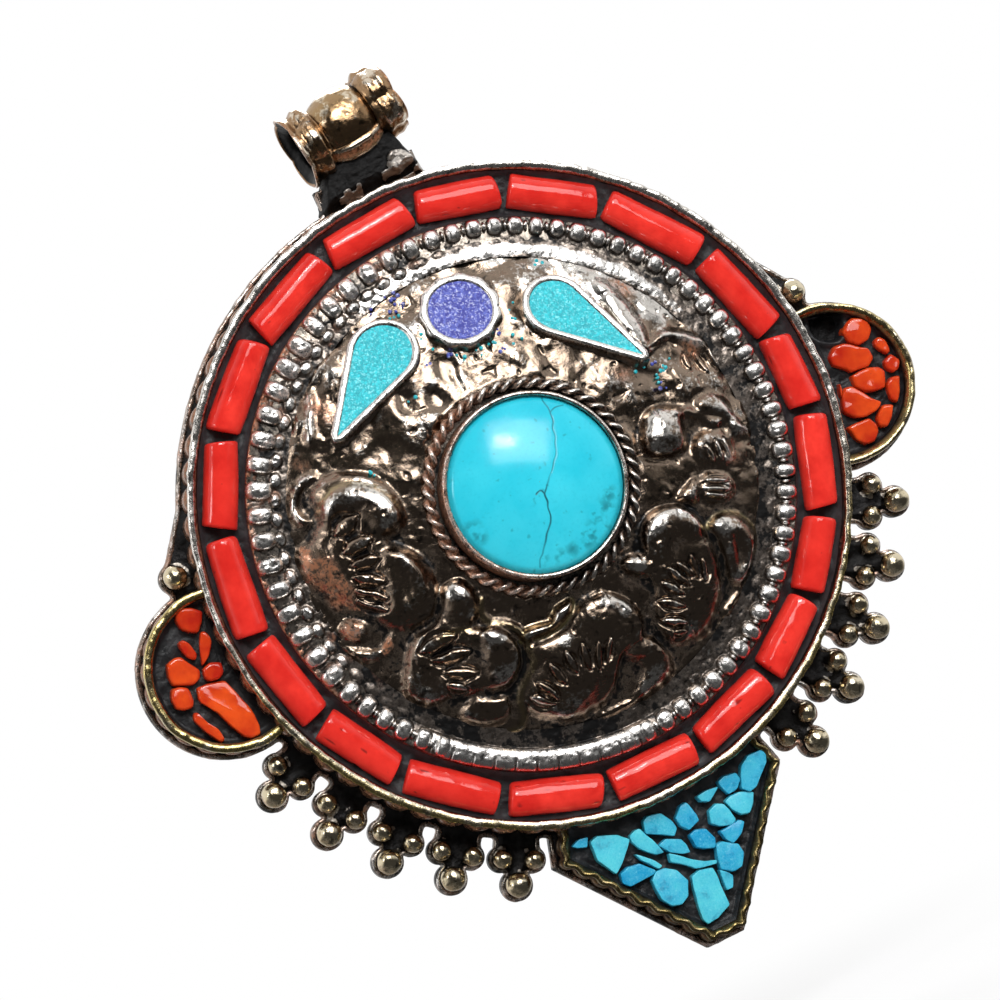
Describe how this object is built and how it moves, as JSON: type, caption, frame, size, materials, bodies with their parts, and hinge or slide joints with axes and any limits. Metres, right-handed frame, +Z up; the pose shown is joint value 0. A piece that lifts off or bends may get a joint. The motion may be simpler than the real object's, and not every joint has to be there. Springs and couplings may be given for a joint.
{
  "type": "ghau amulet box pendant",
  "caption": "Round ghau amulet box pendant with a domed stone-set face, ear and triangle cells, a tubular bail and a pull-off back lid over a folded prayer packet.",
  "frame": {"origin": "middle of the bail's bore, on its axis", "axes": "+Z up, from the triangle's tip to the bail; +Y out of the back, so the face looks along -Y; +X to the viewer's right"},
  "size_m": [0.0616, 0.0156, 0.0682],
  "materials": {
    "plate_metal": "blackened silver alloy, worn bright along its edges",
    "rim_metal": "hammered silver crest over a copper coloured fluted side",
    "resin": "black pitch, slightly glossy and scratched",
    "coral": "opaque red orange coral, polished, with small pits",
    "dome_metal": "oxidised dark brown with polished high spots",
    "bead_metal": "silver beads over dark recesses",
    "setting_metal": "worn silver",
    "cabochon_stone": "opaque sky blue turquoise, polished, with brown cracks",
    "lapis_stone": "deep blue lapis with pale specks",
    "inlay_stone": "crushed turquoise in resin",
    "ear_metal": "worn gilt crest over a dark fluted side",
    "chip_coral": "glossy orange red coral chips",
    "triangle_metal": "olive brown worn brass",
    "chip_turquoise": "bright cyan turquoise chips",
    "granule_metal": "pale gold washed silver",
    "bail_metal": "antique bronze gold, worn silver on its edges",
    "case_metal": "plain grey silver sheet",
    "paper": "folded handmade paper",
    "thread": "dyed cotton thread"
  },
  "bodies": {
    "ghau": {"base_plate": "plate_metal", "rim_bezel": "rim_metal", "channel_resin": "resin", "coral_tubes": "coral", "dome": "dome_metal", "beaded_ring": "bead_metal", "cabochon_cup": "setting_metal", "rope_wire": "setting_metal", "turquoise_cabochon": "cabochon_stone", "lapis_bezel": "setting_metal", "lapis_inlay": "lapis_stone", "left_teardrop_bezel": "setting_metal", "left_teardrop_inlay": "inlay_stone", "right_teardrop_bezel": "setting_metal", "right_teardrop_inlay": "inlay_stone", "left_ear_bezel": "ear_metal", "left_ear_resin": "resin", "left_ear_corals": "chip_coral", "right_ear_bezel": "ear_metal", "right_ear_resin": "resin", "right_ear_corals": "chip_coral", "triangle_bezel": "triangle_metal", "triangle_resin": "resin", "triangle_turquoise": "chip_turquoise", "left_granules": "granule_metal", "right_granules": "granule_metal", "bail_tube": "bail_metal", "bail_left_collar": "bail_metal", "bail_right_collar": "bail_metal", "bail_saddle": "plate_metal", "case_wall": "case_metal", "prayer_packet": "paper", "packet_thread": "thread"},
    "lid": {"back_lid": "case_metal", "lid_rim": "case_metal"}
  },
  "joints": [
    {"name": "lid_slide", "type": "slide", "parent": "ghau", "child": "lid", "axis": [0, 1, 0], "range_m": [0, 0.012]}
  ]
}
